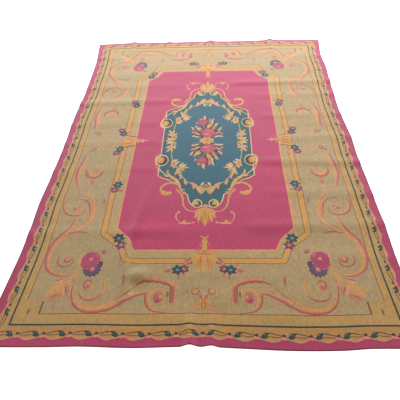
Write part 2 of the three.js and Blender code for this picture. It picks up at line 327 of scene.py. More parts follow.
# The border. Each kind's row holds, in this order:
# scroll: path, width, plies, share of the width at its head and tail, peak, lit side, teeth, their depth
# rimmedLeaf: base, tip, width, yarn, bend, rim, vein; leaf: base, tip, width, yarn, bend, steps
# bloom: middle, radius, petals, yarn, depth, turn, steps, squash; dot: middle, radius, yarn, steps, squash
border = [
    # the great S: its arch, the line over it, and the gilt line that runs on under the flower
    ("scroll", [(150, 1198), (156, 1177), (178, 1159), (208, 1147), (240, 1140), (272, 1141), (304, 1149),
     (334, 1170)], 32, "flame", 0.45, 0.2, 0.5, -1, 5),
    ("scroll", [(180, 1144), (152, 1160), (131, 1183), (112, 1216)], 12, "shell", 0.4, 0.3, 0.4, 1),
    ("scroll", [(318, 1152), (345, 1180), (372, 1207), (402, 1234), (436, 1260)], 10, "amber", 0.5, 0.9, 0.8,
     -1),
    ("scroll", [(390, 1222), (434, 1256), (468, 1279), (502, 1292), (536, 1296), (564, 1291), (588, 1276),
     (604, 1254), (614, 1226)], 16, "gilt", 0.3, 0.2, 0.5, 1),
    ("scroll", [(278, 1211), (310, 1218), (346, 1235), (380, 1254), (412, 1279), (443, 1299), (475, 1310),
     (508, 1316), (545, 1316), (578, 1307), (604, 1288), (624, 1261), (638, 1226), (645, 1184), (648, 1150)],
     29, "bowl", 0.5, 0.22, 0.3, -1, 9, 0.22),
    # the spiral beside the end's middle
    ("scroll", [(178, 1230), (177, 1206), (192, 1191), (221, 1186), (243, 1196), (260, 1220), (265, 1246),
     (262, 1270), (250, 1290), (230, 1305)], 18, "gilt", 0.4, 0.5, 0.6, 1),
    ("scroll", [(280, 1212), (277, 1240), (272, 1268), (257, 1297), (233, 1314), (205, 1320), (168, 1327)], 14,
     "thin", 0.7, 0.4, 0.3, 1),
    ("scroll", [(196, 1226), (210, 1212), (232, 1218), (240, 1240), (234, 1262)], 11, "thin", 0.4, 0.5, 0.5,
     -1),
    # the big C round the corner flower
    ("scroll", [(688, 1108), (722, 1111), (754, 1104), (786, 1086), (809, 1060), (822, 1026), (829, 984),
     (825, 932), (809, 884), (782, 842), (757, 802), (743, 758), (736, 712)], 37, "wave", 0.38, 0.35, 0.55, -1),
    # the side volute, its stalk, and the line that runs down to the C
    ("scroll", [(720, 492), (702, 530), (668, 572), (653, 623), (648, 676), (655, 731), (680, 770), (716, 803),
     (750, 836), (788, 880)], 22, "shell", 0.5, 0.6, 0.4, 1),
    ("scroll", [(772, 560), (728, 562), (696, 579), (675, 612), (667, 652), (664, 700)], 21, "plume", 0.25,
     0.25, 0.5, 1, 4),
    ("scroll", [(818, 566), (830, 592), (828, 628), (808, 668), (775, 689), (741, 692), (716, 680), (705, 655),
     (706, 634)], 21, "plume", 0.3, 0.3, 0.45, 1),
    # the leaf beside the gold band
    ("scroll", [(800, 150), (800, 185), (807, 240), (815, 298), (814, 350), (803, 402), (789, 442), (773, 482)],
     38, "wave", 0.55, 0.2, 0.35, 1),
    # the cup
    ("scroll", [(670, 286), (668, 322), (682, 350), (709, 363), (742, 351), (760, 324), (763, 298)], 34, "bowl",
     0.3, 0.35, 0.6, -1),
    ("scroll", [(664, 316), (668, 278), (690, 258), (716, 270), (722, 292)], 12, "gilt", 0.4, 0.4, 0.5, -1),
    # the bar under the arch's start
    ("scroll", [(153, 1178), (151, 1204), (150, 1240), (152, 1272)], 29, "bar", 0.75, 0.7, 0.3, 1),
    # the spirals inside the big curves
    ("scroll", [(522, 1124), (500, 1140), (489, 1172), (492, 1206), (508, 1232)], 12, "gilt", 0.3, 0.6, 0.5, 1),
    ("scroll", [(498, 1222), (518, 1242), (550, 1252), (580, 1246), (598, 1228), (606, 1208)], 18, "bowl", 0.4,
     0.3, 0.4, -1),
    ("scroll", [(552, 1168), (558, 1148), (578, 1139), (595, 1152), (593, 1178), (574, 1200)], 13, "thin", 0.4,
     0.6, 0.6, -1),
    ("scroll", [(766, 982), (768, 1018), (753, 1043), (729, 1055), (703, 1050), (689, 1028), (693, 1004)], 13,
     "thin", 0.35, 0.35, 0.4, 1),
    # the faint ring beside the side's middle
    ("scroll", [(786, 62), (752, 40), (718, 52), (702, 84), (712, 118), (742, 136)], 8, "gilt", 0.4, 0.4, 0.5,
     1),
    # the branch across the waist of the C
    ("scroll", [(652, 832), (690, 828), (728, 829), (756, 840)], 17, "thin", 0.8, 0.4, 0.2, 1),
    # round the corner's knot
    ("rimmedLeaf", 690, 1130, 758, 1150, 26, "peach", 0.12, "brick"),
    ("rimmedLeaf", 690, 1226, 752, 1254, 26, "coral", 0.04, "brick"),
    ("rimmedLeaf", 684, 1176, 768, 1240, 54, "gold", -0.12, None, "peach"),
    ("rimmedLeaf", 684, 1166, 660, 1236, 20, "coral", 0.08, "brick"),
    ("rimmedLeaf", 698, 1168, 676, 1236, 18, "peach", -0.06, "coral"),
    ("rimmedLeaf", 646, 1080, 680, 1146, 22, "gold", 0.06, None, "peach"),
    ("rimmedLeaf", 662, 1158, 640, 1132, 16, "coral", -0.1, None),
    ("rimmedLeaf", 664, 1152, 646, 1170, 12, "peach", -0.1, None),
    # under and inside the cup
    ("rimmedLeaf", 706, 382, 704, 448, 21, "coral", 0, "brick"),
    ("rimmedLeaf", 704, 440, 712, 508, 8, "peach", 0, None),
    ("rimmedLeaf", 690, 344, 752, 306, 18, "gold", 0.14, None, "peach"),
    # the dash over the arch, and one beside the gold band
    ("rimmedLeaf", 402, 1112, 398, 1180, 14, "rose", 0.04, "brick"),
    ("rimmedLeaf", 599, 562, 596, 612, 13, "rose", 0, None),
    ("rimmedLeaf", 604, 148, 604, 200, 12, "blush", 0, None),
    ("rimmedLeaf", 176, 1204, 180, 1244, 12, "moss", 0.1, None),
    # flames on the arch
    ("rimmedLeaf", 226, 1142, 219, 1114, 15, "coral", 0, None),
    ("rimmedLeaf", 243, 1140, 244, 1106, 17, "coral", 0, None, "peach"),
    ("rimmedLeaf", 262, 1140, 270, 1114, 14, "coral", 0, None),
    # faint tendrils near the side's middle
    ("rimmedLeaf", 716, 56, 722, 136, 8, "straw", -0.3, None),
    ("rimmedLeaf", 776, 92, 800, 116, 12, "moss", 0, None),
    # dots and eyes of the scrolls
    ("dot", 752, 644, 18, "coral", 10, 0.9), ("dot", 760, 646, 11, "rose", 10),
    ("dot", 734, 632, 14, "peach", 10), ("dot", 736, 631, 7, "brick", 10),
    ("dot", 214, 1244, 26, "coral", 10, 1.1), ("dot", 218, 1248, 22, "rose", 10, 1.1),
    ("dot", 222, 1260, 13, "magenta", 10, 0.9), ("dot", 206, 1236, 9, "peach", 10),
    ("dot", 188, 1248, 7, "gold", 10), ("dot", 554, 1178, 9, "gold", 10, 1.3),
    ("dot", 570, 1180, 14, "coral", 10, 1.1), ("dot", 573, 1180, 9, "rose", 10),
    ("dot", 718, 1012, 20, "brick", 10, 1.1), ("dot", 717, 1008, 16, "coral", 10, 1.1),
    ("dot", 717, 1005, 8, "peach", 10), ("dot", 534, 958, 14, "brick", 10, 1.1),
    ("dot", 535, 955, 10, "rose", 10), ("dot", 528, 950, 5, "blush", 10),
    ("dot", 761, 88, 15, "brick", 10, 1.2), ("dot", 760, 86, 10, "coral", 10),
    ("dot", 692, 1152, 12, "coral", 10, 1.1), ("dot", 691, 1151, 7, "peach", 10, 1.1),
    ("dot", 672, 1142, 13, "gold", 10), ("dot", 704, 1160, 8, "peach", 10),
    # the corner's double flower: a magenta bloom over a navy one, both with finely notched rims
    ("leaf", 634, 972, 648, 1050, 16, "peach", -0.1), ("leaf", 636, 1052, 660, 1106, 14, "gold", 0.05),
    ("bloom", 574, 1074, 49, 13, "ink", 0.2, 0.1, 5), ("bloom", 574, 1074, 43, 13, "navy", 0.2, 0.1, 5),
    ("bloom", 606, 1036, 38, 8, "rose", 0.14, 0.2, 5, 1.1), ("bloom", 594, 1010, 52, 15, "mauve", 0.13, 0.3, 4),
    ("bloom", 594, 1010, 47, 13, "magenta", 0.13, 0.3, 4),
    ("bloom", 602, 1034, 36, 8, "magenta", 0.16, 0.3, 5, 1.1), ("leaf", 546, 1020, 534, 1062, 24, "wine", 0.1),
    ("leaf", 578, 966, 560, 998, 22, "rose", 0.1), ("bloom", 574, 1056, 22, 6, "mauve", 0.24),
    ("bloom", 594, 1010, 19, 7, "mauve", 0.3), ("dot", 594, 1008, 10.5, "blush"),
    ("dot", 574, 1073, 15, "rose"), ("dot", 573, 1071, 9.5, "blush", 7),
    # sprigs beside the rosettes
    ("leaf", 160, 1086, 204, 1082, 24, "rose", 0, 6), ("leaf", 158, 1090, 184, 1092, 18, "coral", 0, 6),
    ("leaf", 160, 1070, 178, 1050, 10, "straw", 0.1, 6), ("leaf", 122, 1092, 130, 1136, 20, "rose", 0.1, 6),
    ("leaf", 124, 1094, 120, 1128, 10, "peach", 0.1, 6), ("leaf", 106, 1094, 100, 1130, 8, "amber", 0.1, 6),
    ("leaf", 90, 1048, 70, 1006, 34, "rose", 0.1, 6), ("leaf", 92, 1044, 94, 1000, 16, "coral", 0.1, 6),
    ("leaf", 82, 1040, 56, 1026, 18, "brick", 0.1, 6), ("leaf", 80, 1036, 64, 1014, 10, "peach", 0.1, 6),
    ("leaf", 558, 104, 536, 152, 22, "coral", 0.1, 6), ("leaf", 562, 106, 550, 150, 10, "peach", 0.1, 6),
    ("leaf", 602, 130, 606, 176, 20, "blush", 0, 6), ("leaf", 606, 128, 628, 148, 12, "rose", 0, 6),
    ("leaf", 596, 60, 616, 46, 12, "blush", 0.1, 6), ("leaf", 566, 64, 548, 52, 14, "coral", 0.1, 6),
    ("leaf", 532, 486, 500, 494, 22, "rose", 0, 6), ("leaf", 556, 486, 566, 510, 14, "blush", 0, 6),
    ("leaf", 560, 462, 580, 440, 12, "coral", 0, 6), ("leaf", 512, 420, 496, 380, 14, "coral", 0, 6),
    ("leaf", 556, 412, 566, 384, 12, "peach", 0, 6), ("leaf", 440, 944, 444, 968, 16, "blush", 0, 6),
    ("leaf", 430, 932, 420, 950, 14, "rose", 0, 6), ("leaf", 458, 936, 478, 948, 12, "coral", 0, 6),
    ("leaf", 484, 846, 500, 828, 14, "peach", 0, 6), ("leaf", 446, 846, 436, 834, 12, "coral", 0, 6),
    ("rosette", 450, 915, 33, "wine", 0.2), ("rosette", 470, 867, 35, "deepTeal", 0.9),
    ("rosette", 103, 1072, 29, "wine", 0.5), ("rosette", 135, 1077, 33, "deepTeal", -0.3),
    ("rosette", 605, 126, 28, "wine", 0.2), ("rosette", 588, 86, 32, "deepTeal", 0.7),
    ("rosette", 555, 482, 29, "wine", 0.4), ("rosette", 542, 437, 33, "deepTeal", 1.1),
    # half of the fan, the tulip on the field, the two rings and the pendant at the end's middle
    ("leaf", 4, 968, 66, 988, 24, "gold", -0.06), ("leaf", 12, 980, 59.4, 982, 9, "peach", -0.05),
    ("leaf", 4, 968, 70, 1016, 24, "gold", -0.06), ("leaf", 12, 980, 63, 1010, 9, "peach", -0.05),
    ("leaf", 4, 968, 62, 1046, 24, "gold", -0.06), ("leaf", 12, 980, 55.8, 1040, 9, "peach", -0.05),
    ("leaf", 4, 968, 46, 1076, 24, "gold", -0.06), ("leaf", 12, 980, 41.4, 1070, 9, "amber", -0.05),
    ("leaf", 4, 968, 22, 1096, 24, "gold", -0.06), ("leaf", 12, 980, 19.8, 1090, 9, "amber", -0.05),
    ("dot", 0, 962, 30, "gold", 10, 0.8), ("leaf", 0, 950, 0, 1104, 30, "gold"),
    ("leaf", 0, 990, 0, 1066, 10, "peach"), ("stroke", [(2, 974), (20, 976), (38, 966)], 10, "amber", 0.6, 0.3),
    ("stroke", [(4, 936), (22, 952), (44, 954)], 12, "coral", 0.6, 0.3), ("dot", 0, 962, 11, "amber"),
    ("leaf", 0, 958, 0, 890, 26, "gold"), ("leaf", 1, 925, 27, 846, 21, "gold", -0.22),
    ("leaf", 2, 915, 24, 852, 10, "coral", -0.22), ("leaf", 0, 915, 0, 870, 10, "peach"),
    ("leaf", 4, 930, 30, 896, 10, "amber", 0.1),
    # the rings, the drop between them and the pendant
    ("dot", 40, 1207, 20.5, "brick", 12), ("dot", 41, 1206, 17, "coral", 11),
    ("dot", 42, 1205, 14, "honey", 10), ("dot", 45, 1202, 7, "gold"),
    ("stroke", [(68, 1186), (78, 1212), (70, 1238)], 7, "coral", 0.4, 0.4),
    ("stroke", [(22, 1226), (12, 1238), (2, 1256)], 12, "rose", 0.5, 0.8),
    ("leaf", 0, 1212, 0, 1262, 16, "blush"), ("leaf", 0, 1262, 32, 1306, 24, "gold", -0.2),
    ("leaf", 0, 1258, 0, 1316, 26, "amber"), ("leaf", 0, 1268, 0, 1308, 10, "gold"),
    ("stroke", [(10, 1272), (44, 1290), (78, 1292)], 7, "coral", 0.5, 0.3),
    ("stroke", [(16, 1300), (52, 1318), (98, 1322)], 6, "coral", 0.5, 0.3),
    ("stroke", [(116, 1262), (134, 1292), (160, 1304)], 9, "gold", 0.4, 0.4),
    # half of the gold cartouche at the side's middle, with its fleur on the field
    ("patch", [(490, 0), (490, 50), (525, 55), (562, 66), (580, 40), (574, 0)], "gold"),
    ("stroke", [(490, 50), (525, 55), (566, 68)], 10, "brick", 0.8, 0.8),
    ("stroke", [(492, 42), (525, 46), (562, 56)], 6, "peach", 0.8, 0.8),
    ("leaf", 506, 14, 572, 34, 18, "amber", 0.05), ("leaf", 510, 12, 556, 22, 9, "gold", 0.05),
    ("leaf", 500, 0, 590, 0, 22, "peach"), ("leaf", 506, 0, 560, 0, 9, "amber"),
    ("leaf", 498, 0, 446, 0, 22, "peach"), ("leaf", 492, 4, 466, 34, 14, "coral", 0.1),
    ("leaf", 470, 0, 400, 0, 14, "peach"), ("leaf", 462, 2, 434, 26, 13, "peach", 0.15),
    ("dot", 432, 0, 8, "blush", 6),
]

# The medallion, from the middle of its side to the middle of its end
medallionSide = [(302, 0), (302, 150), (302, 250), (303, 354)]
medallionSlope = [(303, 354), (270, 380), (216, 402), (180, 430), (158, 468), (138, 504), (110, 528), (102, 565),
                  (88, 602), (54, 634), (18, 624), (0, 612)]
wreathInside = [(222, 0), (222, 120), (214, 190), (180, 262), (158, 330), (128, 378), (80, 425), (40, 440),
                (0, 445)]
wreathInsideStep = 14

# under the medallion's cream line
medallionUnder = [
    # flourishes on the field
    ("stroke", [(158, 466), (176, 438), (216, 424), (250, 438), (271, 464), (272, 490), (252, 508), (226, 514)],
     14, "gold", 0.5, 0.9, 0.5),
    ("stroke", [(176, 432), (216, 418), (253, 433), (276, 462), (277, 488)], 6, "peach", 0.5, 0.9, 0.5),
    ("leaf", 184, 432, 222, 402, 24, "gold", 0.1), ("leaf", 190, 424, 240, 428, 18, "gold", -0.1),
    ("leaf", 270, 492, 206, 516, 36, "gold", -0.16), ("leaf", 258, 494, 212, 504, 14, "peach", -0.16),
    ("dot", 216, 510, 13, "gold", 9), ("leaf", 150, 514, 180, 470, 16, "coral", 0.1),
    ("stroke", [(178, 476), (151, 517), (136, 554), (131, 603), (113, 643), (86, 664), (56, 665), (26, 650)],
     9.5, "peach", 0.7, 0.6),
    ("stroke", [(118, 522), (117, 560), (105, 602), (84, 634)], 6, "brick", 0.6, 0.6),
    ("stroke", [(152, 668), (165, 686), (165, 716), (150, 742), (126, 754)], 8.5, "blush", 0.9, 0.3, 0.2),
    ("dot", 151, 670, 9.5, "blush"),
    ("stroke", [(152, 760), (118, 758), (68, 754)], 11, "peach", 0.3, 0.4, 0.4),
    ("leaf", 124, 762, 114, 730, 18, "gold"), ("leaf", 130, 756, 82, 760, 15, "gold"),
    ("dot", 66, 752, 7.5, "blush", 7),
    # the rim, doubled round the side volute
    ("stroke", [(304, 146), (326, 162), (335, 200), (327, 244), (313, 284), (305, 320)], 8.5, "peach", 0.8,
     0.6),
    ("stroke", [(308, 158), (322, 174), (326, 204), (318, 240)], 6, "brick", 0.8, 0.4),
    ("leaf", 300, 352, 226, 384, 20, "ink", 0.05), ("leaf", 292, 352, 262, 366, 12, "moss", 0.05),
]

# over the cream line
medallionOver = [
    ("stroke", [(304, 282), (291, 308), (268, 334), (240, 358), (212, 376)], 6.5, "cream", 0.9, 0.6),
    ("leaf", 222, 400, 174, 428, 12, "moss", 0.05),
    # gold leafage along the slope
    ("stroke", [(244, 298), (240, 336), (216, 372), (184, 400), (166, 438), (152, 484), (134, 518)], 22, "gold",
     0.15, 0.4, 0.5),
    ("stroke", [(230, 352), (198, 382), (172, 418), (156, 464)], 6, "cream", 0.3, 0.3),
    ("stroke", [(170, 440), (156, 486), (140, 512)], 6, "coral", 0.3, 0.5),
    ("leaf", 232, 350, 246, 298, 14, "straw", 0.1), ("leaf", 230, 366, 268, 350, 14, "peach", 0.1),
    ("leaf", 188, 396, 202, 360, 12, "gold", 0.1), ("leaf", 150, 482, 124, 484, 12, "straw"),
    ("leaf", 138, 524, 118, 502, 14, "straw", 0.1),
    # the rings
    ("dot", 291, 207, 43.5, "cream", 20, 1.3), ("dot", 289, 209, 36, "ink", 18, 1.3),
    ("dot", 300, 205, 26.5, "amber", 16, 1.3), ("dot", 304, 202, 19.5, "gold", 14, 1.3),
    ("dot", 306, 196, 9, "buff", 10, 1.2), ("leaf", 282, 236, 312, 222, 10, "gold", -0.2),
    ("stroke", [(262, 196), (270, 178), (286, 172)], 7, "ink", 0.6, 0.6),
    ("dot", 48, 601, 30, "cream", 16, 1.15), ("dot", 47, 604, 23.5, "ink", 14, 1.15),
    ("dot", 56, 597, 16.5, "gold", 10, 1.15), ("dot", 60, 592, 7, "buff"), ("dot", 38, 614, 7, "moss", 8, 1.2),
    # half of the gold palmette below the medallion's end, drawn to its middle line
    ("leaf", 0, 622, 0, 770, 86, "amber"), ("leaf", 4, 640, 50, 700, 36, "amber"),
    ("leaf", 6, 644, 60, 694, 21, "gold", -0.14), ("leaf", 6, 644, 60, 694, 6.3, "peach", -0.14),
    ("leaf", 6, 652, 56, 724, 21, "gold", -0.14), ("leaf", 6, 652, 56, 724, 6.3, "peach", -0.14),
    ("leaf", 4, 664, 36, 754, 21, "gold", -0.14), ("leaf", 4, 664, 36, 754, 6.3, "peach", -0.14),
    ("leaf", 0, 620, 0, 786, 30, "gold"), ("leaf", 0, 660, 0, 750, 9, "amber"),
    ("stroke", [(2, 640), (22, 652), (44, 670), (62, 674)], 9, "gold", 0.8, 0.5),
    ("dot", 58, 706, 6.5, "blush", 6), ("leaf", 0, 606, 0, 644, 16, "peach"), ("dot", 10, 648, 11, "gold", 9),
    # the wreath's stem
    ("stroke", [(236, 60), (234, 130), (226, 190), (208, 240), (176, 300), (158, 350), (128, 395), (90, 432),
     (40, 462)], 7.5, "reed", 0.9, 0.9),
]

# The wreath: base, tip, width, yarn of each leaf and petal, all bent alike
wreathBend = 0.06
wreathLeaves = [
    # side cluster
    (240, 0, 240, 50, 30, "buff"), (244, 8, 276, 30, 20, "cream"), (236, 12, 206, 36, 18, "straw"),
    (250, 0, 286, 0, 16, "blush"), (234, 0, 204, 0, 16, "leaf"), (240, 46, 252, 104, 36, "peach"),
    (244, 54, 280, 78, 20, "buff"), (236, 56, 208, 88, 18, "buff"), (248, 82, 270, 122, 20, "peach"),
    (240, 84, 232, 122, 16, "straw"), (226, 44, 204, 58, 12, "cream"), (244, 60, 248, 98, 12, "gold"),
    (262, 40, 284, 52, 12, "leaf"), (226, 96, 214, 118, 10, "leaf"),
    # slope cluster
    (220, 200, 208, 290, 34, "buff"), (212, 215, 186, 202, 18, "cream"), (214, 228, 232, 274, 18, "peach"),
    (200, 250, 172, 216, 20, "buff"), (214, 214, 210, 274, 13, "amber"), (172, 280, 124, 250, 22, "cream"),
    (172, 276, 146, 230, 20, "buff"), (170, 284, 108, 282, 20, "buff"), (172, 286, 136, 316, 20, "straw"),
    (178, 282, 184, 330, 26, "buff"), (176, 306, 158, 376, 28, "straw"), (182, 306, 200, 352, 18, "buff"),
    (166, 330, 148, 346, 12, "leaf"), (178, 318, 170, 360, 10, "gold"),
    # bud on the stem
    (134, 384, 122, 446, 24, "buff"), (134, 392, 134, 436, 10, "peach"), (128, 388, 112, 424, 10, "leaf"),
    (150, 362, 166, 392, 14, "blush"),
    # end cluster
    (100, 424, 64, 436, 14, "blush"), (86, 434, 46, 474, 30, "blush"), (72, 442, 78, 482, 18, "peach"),
    (56, 454, 32, 522, 26, "buff"), (40, 450, 20, 504, 24, "peach"), (28, 452, 10, 416, 16, "cream"),
    (22, 462, 16, 516, 20, "straw"), (0, 436, 0, 496, 24, "straw"), (12, 468, 30, 532, 14, "gold"),
    (6, 446, 12, 482, 10, "leaf"),
]
wreathHearts = [("dot", 240, 22, 11, "gold"), ("dot", 176, 278, 9, "amber")]

# The bouquet, one half of it, from the gold flower in the middle to the bud at its end
bouquetBend = 0.08
bouquetPale = ("cream", "blush", "peach", "straw")  # these petals are slimmer
bouquetGround = [("bloom", 0, 100, 90, 11, "ink", 0.3, 0.2, 5), ("bloom", -4, 200, 56, 9, "ink", 0.34, 0.1, 5)]
bouquetLeaves = [
    (0, 60, 112, 70, 26, "ink"), (0, 60, -104, 82, 26, "ink"), (10, 110, 96, 172, 34, "ink"),
    (-10, 110, -100, 160, 34, "ink"), (0, 150, 62, 236, 34, "ink"), (-10, 170, -66, 226, 32, "ink"),
    (30, 45, 96, 28, 18, "leaf"), (50, 36, 110, 52, 18, "cream"), (-30, 45, -98, 32, 18, "leaf"),
    (-50, 38, -98, 64, 16, "cream"), (44, 62, 100, 92, 30, "mauve"), (64, 74, 106, 104, 16, "blush"),
    (78, 98, 108, 152, 20, "rose"), (94, 132, 108, 156, 12, "cream"), (-44, 66, -86, 98, 26, "blush"),
    (-58, 90, -104, 140, 22, "mauve"), (-88, 122, -108, 164, 14, "cream"), (40, 114, 80, 190, 30, "peach"),
    (46, 124, 74, 180, 16, "amber"), (-42, 106, -82, 182, 26, "straw"), (-40, 124, -54, 182, 20, "leaf"),
    (-32, 132, -70, 152, 14, "cream"), (10, 138, 26, 204, 26, "gold"), (-10, 138, -28, 184, 20, "leaf"),
    (22, 148, 48, 210, 18, "straw"), (38, 188, 52, 266, 18, "cream"), (22, 186, 36, 258, 26, "rose"),
    (28, 210, 20, 266, 14, "blush"), (-30, 182, -56, 252, 34, "magenta"), (-20, 186, 6, 240, 32, "magenta"),
    (-18, 232, -12, 298, 28, "coral"), (-14, 252, -14, 296, 14, "cream"), (-34, 236, -56, 264, 14, "blush"),
    (88, 44, 116, 42, 16, "cream"), (90, 68, 120, 84, 14, "blush"), (-84, 50, -106, 52, 14, "cream"),
    (-80, 84, -108, 106, 16, "blush"), (74, 120, 110, 128, 12, "cream"), (-86, 150, -118, 150, 14, "blush"),
    (56, 176, 84, 206, 12, "cream"), (-62, 196, -80, 216, 12, "cream"),
]
bouquetBlooms = [
    ("bloom", -28, 204, 32, 6, "magenta", 0.2), ("bloom", -26, 206, 16, 5, "rose", 0.3),
    # the big rose: a lobed bloom with lighter petals folded round its heart
    ("bloom", 8, 90, 56, 7, "magenta", 0.16), ("bloom", 12, 94, 40, 6, "rose", 0.24, 0.8),
    ("bloom", 12, 96, 33, 6, "magenta", 0.22, 0.4), ("leaf", -26, 68, 20, 58, 14, "blush", 0.25),
    ("leaf", 22, 62, 46, 94, 12, "rose", 0.25), ("leaf", -8, 116, 36, 122, 12, "coral", -0.25),
    ("dot", 12, 92, 10, "rose"),
]


def medallionOutline():
    return np.concatenate([straight(medallionSide)[:-1], through(medallionSlope)])


def medallionGround():
    inside = np.concatenate([straight(wreathInside[:2])[:-1], through(wreathInside[1:], wreathInsideStep)])
    return frameShape(medallionOutline(), "teal") + frameShape(inside, "lake")


def medallionTrim():
    # a quarter of the cream line, the gold leafage on both sides of it, and the wreath
    half = design["creamLine"] / 2
    shapes = drawn(medallionUnder) + [(strip(medallionOutline(), -half, half), "cream")] + drawn(medallionOver)
    for row in wreathLeaves:
        shapes += leaf(*row, wreathBend)
    return shapes + drawn(wreathHearts)


def bouquet():
    shapes = drawn(bouquetGround)
    for *place, width, yarn in bouquetLeaves:
        shapes += leaf(*place, width * (0.76 if yarn in bouquetPale else 0.95), yarn, bouquetBend)
    return shapes + drawn(bouquetBlooms)


def middleFlower():
    # the gold flower at the very middle: eight petals and a coral heart
    shapes = []
    for k in range(8):
        angle = math.radians(45 * k + 22.5)
        shapes += leaf(0, 0, 58 * math.cos(angle), 46 * math.sin(angle), 30, "gold" if k % 2 else "peach")
    return shapes + dot(0, 0, 15, "amber", 10) + dot(0, 0, 8, "coral", 6)


def corners():
    # the gold block that fills each corner of the ground, with its dashes
    blockU, blockV = design["cornerBlock"]
    innerU, innerV = design["goldBandInner"]
    fine = design["fineLine"]
    block = [(blockU, blockV), (innerU + fine, blockV), (innerU + fine, innerV + fine), (blockU, innerV + fine)]
    dashes = [[(blockU + fine, blockV + fine), (blockU + fine, innerV)], [(820, 1304), (820, 1332)]]
    shapes = [(straight(block, closed=True), "honey")]
    return shapes + [(strip(straight(dash), -fine, fine), "bark") for dash in dashes]


def bands():
    # the plain parts from the edge inwards, each laid over the one before
    sideU, endV = design["tealLine"]
    half, fine = design["tealLineWidth"] / 2, design["fineLine"] / 2
    reach = design["scallopLine"][1] - design["brassBandGap"] - endV
    brass = [(0, endV), (sideU, endV), (sideU + reach, endV + reach), (0, endV + reach)]
    blockU, blockV = design["cornerBlock"]
    innerU, innerV = design["goldBandInner"]
    marginU, marginV = design["goldBandMargin"]
    halfBand, rim = design["frameBand"] / 2, design["frameRim"]
    edgeU, edgeV = innerU - fine, innerV - fine
    ground = [(edgeU, 0), (edgeU, blockV), (blockU, blockV), (blockU, edgeV), (0, edgeV)]
    shapes = (
        # the darkest band at the very edge: partly a darker edge yarn, partly painted shade of the edge's side
        rectangle(design["halfWidth"], design["halfLength"], "selvedge")
        + rectangle(design["halfWidth"] - design["selvedge"], design["halfLength"] - design["selvedge"], "rim")
        + frameShape(guardLine(), "honey")
        + fourWays([(straight(brass, closed=True), "brass")])
        + fourWays(guardBand())
        + rectangle(sideU + half, endV + half, "ink")
        + rectangle(sideU - half, endV - half, "honey")
        + rectangle(innerU + marginU, innerV + marginV, "gold")
        + frameShape([(innerU + fine, 0), (innerU + fine, innerV + fine), (0, innerV + fine)], "bark")
        + fourWays(corners())
        + frameShape(ground, "sand")
    )
    for by, yarn in ((halfBand + rim, "bark"), (halfBand, "gold"), (-halfBand, "bark"), (-halfBand - rim, "sage")):
        shapes += frameShape(frameLine, yarn, by)
    for yarn, by in design["fieldRims"].items():
        shapes += frameShape(fieldEdge, yarn, by)
    return shapes


def allShapes():
    # the whole design from the bottom up, in metres: closed outlines, each with its yarn
    half = bouquet()
    shapes = bands() + fourWays(drawn(border)) + medallionGround() + fourWays(medallionTrim())
    shapes += half + [(outline * (1, -1), yarn) for outline, yarn in half] + middleFlower()
    return [(outline / 1000, yarn) for outline, yarn in shapes]


# The cloth
cloth = {
    "width": 1.97,  # edge to edge, as woven
    "length": 3.0,  # end to end
    "thickness": 0.003,
    # each face: how far a line of the design may move when its points are thinned, the distance
    # between the surface's own points away from those lines, and the smallest shape that it keeps
    "upperFace": {"tolerance": 0.00045, "gridStep": 0.022, "smallest": 0.0},
    "underFace": {"tolerance": 0.0018, "gridStep": 0.034, "smallest": 0.024},
    "clearance": 0.009,  # the surface's own points keep this far from the design's lines
    "longestSide": 0.045,
    "edgeStep": 0.0125,  # along the edges
    # the edge's section: distance in from the edge, height of the upper and of the under face
    "edgeSection": [
        {"inward": 0.0, "upper": 0.0015, "under": 0.0015},
        {"inward": 0.0006, "upper": 0.0024, "under": 0.0006},
        {"inward": 0.0022, "upper": 0.0032, "under": 0.0},
        {"inward": 0.0060, "upper": 0.0034, "under": 0.0},
        {"inward": 0.0085, "upper": 0.0030, "under": 0.0},
    ],
    "bakeSide": 4.06,  # the two faces lie side by side on a square sheet of this size
    "bakeCorner": (1.01, 1.52),  # the rug's middle, from the sheet's corner
    "rumpleReach": 0.075,  # the points lie closer together this far either side of the rumple
    "edgeMargin": 0.6,  # of the grid's step: how far its outermost points lie inside the edge
    "cockle": 0.0005,  # half the height of the small waves all over the cloth
    # the small waves: turns per metre times 2 pi, sway, and the sway's own turns
    "wavesAcross": (23, 3, 4.1),
    "wavesAlong": (31, 2, 3.3),
    "calmRadius": 0.4,  # they grow from nothing in the middle to their height this far out
    "crestRounding": 0.16,  # of a ridge's half width
    "crossRidgeFade": 0.150,
    "sidesReach": 0.990,  # a cross ridge whose end lies further out runs over the side
    "beyondEnd": 0.090,  # a pucker starts this far outside the rug
    "noFade": 1e-6,
    "endUnevennessPower": 6,
}

# where the long edges lie, left and right of the middle, from the near end to the far end
longEdges = np.array([
    (-1.5, -0.998, 0.998), (-1.2, -0.981, 0.979), (-1, -0.97, 0.971), (-0.8, -0.968, 0.974),
    (-0.6, -0.975, 0.97), (-0.4, -0.968, 0.967), (-0.2, -0.963, 0.961), (0, -0.961, 0.966),
    (0.2, -0.966, 0.957), (0.35, -0.966, 0.949), (0.6, -0.956, 0.954), (0.8, -0.958, 0.96), (1, -0.961, 0.968),
    (1.2, -0.968, 0.96), (1.3, -0.979, 0.969), (1.5, -0.998, 0.99),
])  # along, left, right

# where the ends lie, from the left edge to the right edge
shortEnds = np.array([
    (-0.985, -1.499, 1.474), (-0.7, -1.497, 1.495), (-0.55, -1.493, 1.492), (-0.3, -1.498, 1.494),
    (-0.12, -1.492, 1.497), (0.02, -1.49, 1.501), (0.15, -1.497, 1.495), (0.4, -1.507, 1.499),
    (0.6, -1.504, 1.507), (0.72, -1.495, 1.498), (0.985, -1.493, 1.489),
])  # across, near, far

